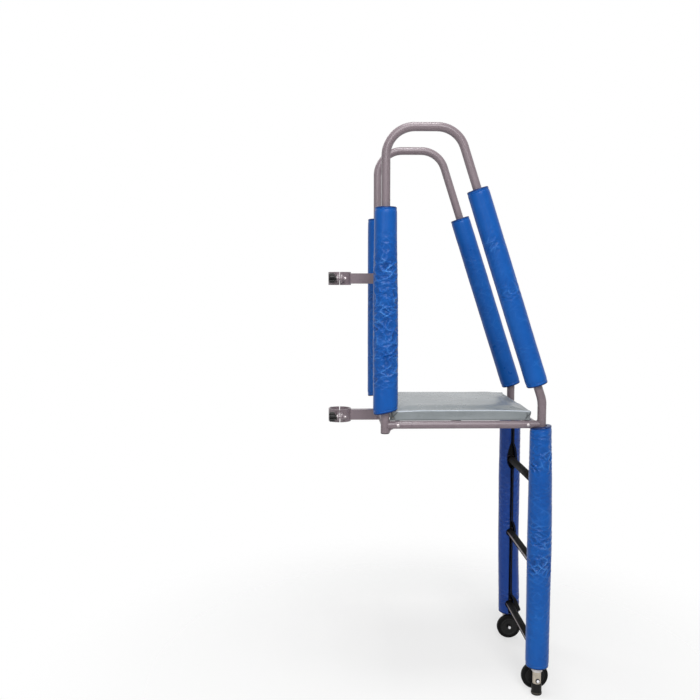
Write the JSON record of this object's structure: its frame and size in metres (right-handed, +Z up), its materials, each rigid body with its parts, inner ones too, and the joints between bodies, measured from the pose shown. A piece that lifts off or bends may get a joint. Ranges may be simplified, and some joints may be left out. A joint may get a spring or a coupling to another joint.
{
  "type": "volleyball referee stand",
  "caption": "Clamp-on referee stand with bent tube handrails, a padded platform, a rung ladder, telescoping rubber-tipped feet, tilt wheels and split foam pads on the tubes.",
  "frame": {"origin": "centre of the stand's box on the floor", "axes": "+X from the net post towards the ladder, +Y from the near side frame to the far one, +Z up"},
  "size_m": [0.8314, 0.582, 2.109],
  "materials": {
    "frame_paint": "satin grey powder coat",
    "zinc": "bright zinc plate",
    "plated_tube": "dull plate",
    "plywood": "raw plywood",
    "vinyl_grey": "grey coated vinyl over foam",
    "vinyl_blue": "blue coated vinyl over foam",
    "rubber_black": "matt",
    "tyre_black": "matt",
    "plastic_black": "moulded",
    "nylon_white": "natural nylon"
  },
  "bodies": {
    "stand": {"handrail_near": "frame_paint", "handrail_far": "frame_paint", "side_rail_near": "frame_paint", "side_rail_far": "frame_paint", "platform_tube_front": "frame_paint", "platform_tube_middle": "frame_paint", "platform_tube_rear": "frame_paint", "corner_gussets": "frame_paint", "upright_plugs": "plastic_black", "upper_crossbar": "frame_paint", "deck_board": "plywood", "deck_pad": "vinyl_grey", "deck_brackets": "zinc", "deck_bolts": "zinc", "deck_screws": "zinc", "ladder_leg_near": "frame_paint", "ladder_leg_far": "frame_paint", "leg_lock_buttons": "zinc", "rung_lower": "frame_paint", "rung_middle": "frame_paint", "rung_upper": "frame_paint", "rung_grip_lower": "rubber_black", "rung_grip_middle": "rubber_black", "rung_grip_upper": "rubber_black", "leg_collar_near": "nylon_white", "leg_collar_far": "nylon_white", "clamp_arm_lower": "frame_paint", "clamp_arm_upper": "frame_paint", "clamp_saddle_lower": "frame_paint", "clamp_saddle_upper": "frame_paint", "clamp_cap_lower": "frame_paint", "clamp_cap_upper": "frame_paint", "front_pad_near": "vinyl_blue", "front_pad_far": "vinyl_blue", "slant_pad_near": "vinyl_blue", "slant_pad_far": "vinyl_blue", "leg_pad_near": "vinyl_blue", "leg_pad_far": "vinyl_blue"},
    "foot_near": {"foot_tube_near": "plated_tube", "foot_tip_near": "rubber_black", "axle_bolt_near": "zinc", "axle_spacer_near": "zinc"},
    "foot_far": {"foot_tube_far": "plated_tube", "foot_tip_far": "rubber_black", "axle_bolt_far": "zinc", "axle_spacer_far": "zinc"},
    "wheel_near": {"wheel_hub_near": "plastic_black", "wheel_tyre_near": "tyre_black"},
    "wheel_far": {"wheel_hub_far": "plastic_black", "wheel_tyre_far": "tyre_black"},
    "knob_lower_near": {"clamp_knob_lower_near": "plastic_black", "clamp_screw_lower_near": "zinc"},
    "knob_lower_far": {"clamp_knob_lower_far": "plastic_black", "clamp_screw_lower_far": "zinc"},
    "knob_upper_near": {"clamp_knob_upper_near": "plastic_black", "clamp_screw_upper_near": "zinc"},
    "knob_upper_far": {"clamp_knob_upper_far": "plastic_black", "clamp_screw_upper_far": "zinc"}
  },
  "joints": [
    {"name": "foot_near_slide", "type": "slide", "parent": "stand", "child": "foot_near", "axis": [0, 0, -1], "range_m": [0, 0.06]},
    {"name": "foot_far_slide", "type": "slide", "parent": "stand", "child": "foot_far", "axis": [0, 0, -1], "range_m": [0, 0.06]},
    {"name": "wheel_near_spin", "type": "hinge", "parent": "foot_near", "child": "wheel_near", "pos_m": [0.3649, -0.2475, 0.057], "axis": [0, 1, 0], "continuous": true},
    {"name": "wheel_far_spin", "type": "hinge", "parent": "foot_far", "child": "wheel_far", "pos_m": [0.3649, 0.2475, 0.057], "axis": [0, 1, 0], "continuous": true},
    {"name": "knob_lower_near_turn", "type": "hinge", "parent": "stand", "child": "knob_lower_near", "pos_m": [-0.3716, -0.0661, 1.0255], "axis": [-1, 0, 0], "range_deg": [0, 720]},
    {"name": "knob_lower_far_turn", "type": "hinge", "parent": "stand", "child": "knob_lower_far", "pos_m": [-0.3716, 0.0661, 1.0255], "axis": [-1, 0, 0], "range_deg": [0, 720]},
    {"name": "knob_upper_near_turn", "type": "hinge", "parent": "stand", "child": "knob_upper_near", "pos_m": [-0.3716, -0.0661, 1.56], "axis": [-1, 0, 0], "range_deg": [0, 720]},
    {"name": "knob_upper_far_turn", "type": "hinge", "parent": "stand", "child": "knob_upper_far", "pos_m": [-0.3716, 0.0661, 1.56], "axis": [-1, 0, 0], "range_deg": [0, 720]}
  ]
}
